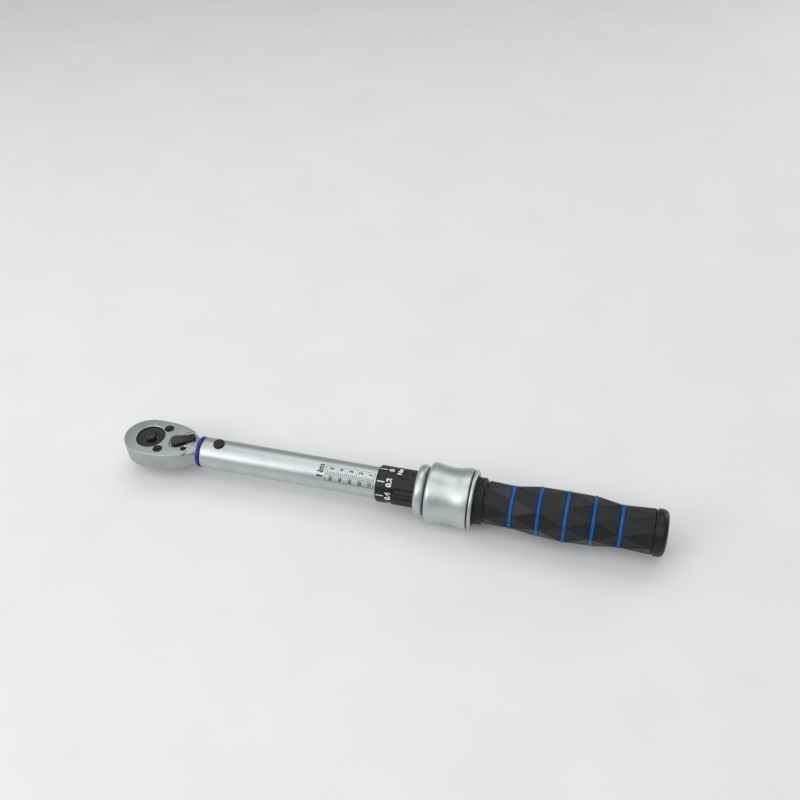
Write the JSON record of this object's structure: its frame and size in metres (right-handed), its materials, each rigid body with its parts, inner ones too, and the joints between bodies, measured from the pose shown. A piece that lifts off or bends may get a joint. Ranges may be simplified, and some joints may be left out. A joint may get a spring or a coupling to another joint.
{
  "type": "torque wrench",
  "caption": "Click-type torque wrench: reversible quarter-inch ratchet head, satin steel tube, micrometer sleeve, sprung lock collar and black grip with blue rings.",
  "frame": {"origin": "centre of the drive square's end face, which faces down", "axes": "+Z along the drive axis, from the square's end up through the ratchet head; +X along the tube from the head towards the handle; +Y completes the right-handed frame"},
  "size_m": [0.2775, 0.0302, 0.0302],
  "materials": {
    "satin_steel": "satin, lightly brushed",
    "bright_steel": "ground",
    "satin_aluminium": "satin",
    "black_steel": "black oxide, soft sheen",
    "black_plastic": "fine matte texture",
    "blue_plastic": "semi gloss",
    "dark_blue": "semi gloss",
    "spring_steel": "drawn wire",
    "brass": "machined"
  },
  "bodies": {
    "housing": {"tube": "satin_steel", "front_ring": "dark_blue", "pivot_pin": "black_steel", "spring_plunger": "bright_steel", "adjusting_nut": "brass", "nut_pin": "bright_steel", "main_spring": "spring_steel"},
    "head": {"head_body": "satin_steel", "cover_plate": "satin_steel", "cover_screw_1": "black_steel", "cover_screw_2": "black_steel", "cover_screw_3": "black_steel", "cover_screw_4": "black_steel", "pawl_pin": "bright_steel"},
    "spindle": {"drive_spindle": "black_steel", "button_spring": "spring_steel"},
    "button": {"release_button": "black_steel"},
    "detent": {"detent_ball": "bright_steel"},
    "lever": {"reversing_lever": "black_steel", "lever_spring": "spring_steel"},
    "lever_detent": {"lever_plunger": "bright_steel"},
    "pawl": {"pawl": "bright_steel"},
    "tilt": {"tilt_block": "bright_steel"},
    "seat": {"spring_seat": "bright_steel", "thrust_ball": "bright_steel"},
    "handle": {"micrometer_sleeve": "black_steel", "handle_core": "satin_aluminium", "neck_ring": "black_plastic", "adjusting_screw": "bright_steel", "screw_nut": "bright_steel", "end_cap": "black_plastic", "lock_ball_1": "bright_steel", "lock_ball_2": "bright_steel", "lock_ball_3": "bright_steel", "collar_spring": "spring_steel", "grip": "black_plastic", "grip_ring_1": "blue_plastic", "grip_ring_2": "blue_plastic", "grip_ring_3": "blue_plastic", "grip_ring_4": "blue_plastic", "grip_ring_5": "blue_plastic"},
    "collar": {"lock_collar": "satin_aluminium"}
  },
  "joints": [
    {"name": "head_click", "type": "hinge", "parent": "housing", "child": "head", "pos_m": [0.039, 0, 0.0145], "axis": [0, 0, 1], "range_deg": [-2, 2], "stiffness_Nm_per_rad": 5},
    {"name": "drive_spin", "type": "hinge", "parent": "head", "child": "spindle", "pos_m": [0, 0, 0.0145], "axis": [0, 0, 1], "continuous": true},
    {"name": "button_press", "type": "slide", "parent": "spindle", "child": "button", "axis": [0, 0, -1], "range_m": [0, 0.0015], "stiffness_N_per_m": 600, "deforming": ["button_spring"]},
    {"name": "detent_retract", "type": "slide", "parent": "spindle", "child": "detent", "axis": [-1, 0, 0], "range_m": [0, 0.00065]},
    {"name": "lever_flip", "type": "hinge", "parent": "head", "child": "lever", "pos_m": [0.0166, 0, 0.0145], "axis": [0, 0, 1], "range_deg": [-60, 0]},
    {"name": "lever_detent_slide", "type": "slide", "parent": "lever", "child": "lever_detent", "axis": [0.866, 0.5, 0], "range_m": [0, 0.0003], "stiffness_N_per_m": 500, "deforming": ["lever_spring"]},
    {"name": "pawl_rock", "type": "hinge", "parent": "head", "child": "pawl", "pos_m": [0.0112, 0, 0.0145], "axis": [0, 0, 1], "range_deg": [0, 5.2]},
    {"name": "tilt_rock", "type": "hinge", "parent": "housing", "child": "tilt", "pos_m": [0.0853, 0, 0.0145], "axis": [0, 0, 1], "range_deg": [-17, 17]},
    {"name": "handle_turn", "type": "hinge", "parent": "seat", "child": "handle", "pos_m": [0.15, 0, 0.0145], "axis": [-1, 0, 0], "range_deg": [0, 4320]},
    {"name": "handle_advance", "type": "slide", "parent": "housing", "child": "seat", "axis": [-1, 0, 0], "range_m": [0, 0.0242], "deforming": ["main_spring"]},
    {"name": "collar_unlock", "type": "slide", "parent": "handle", "child": "collar", "axis": [1, 0, 0], "range_m": [0, 0.0035], "stiffness_N_per_m": 900, "deforming": ["collar_spring"]}
  ],
  "couplings": [
    {"joint": "detent_retract", "follows": "button_press", "ratio": 0.4},
    {"joint": "pawl_rock", "follows": "lever_flip", "ratio": -0.085},
    {"joint": "tilt_rock", "follows": "head_click", "ratio": -8.26},
    {"joint": "handle_advance", "follows": "handle_turn", "m_per_rad": 0.00031831}
  ]
}
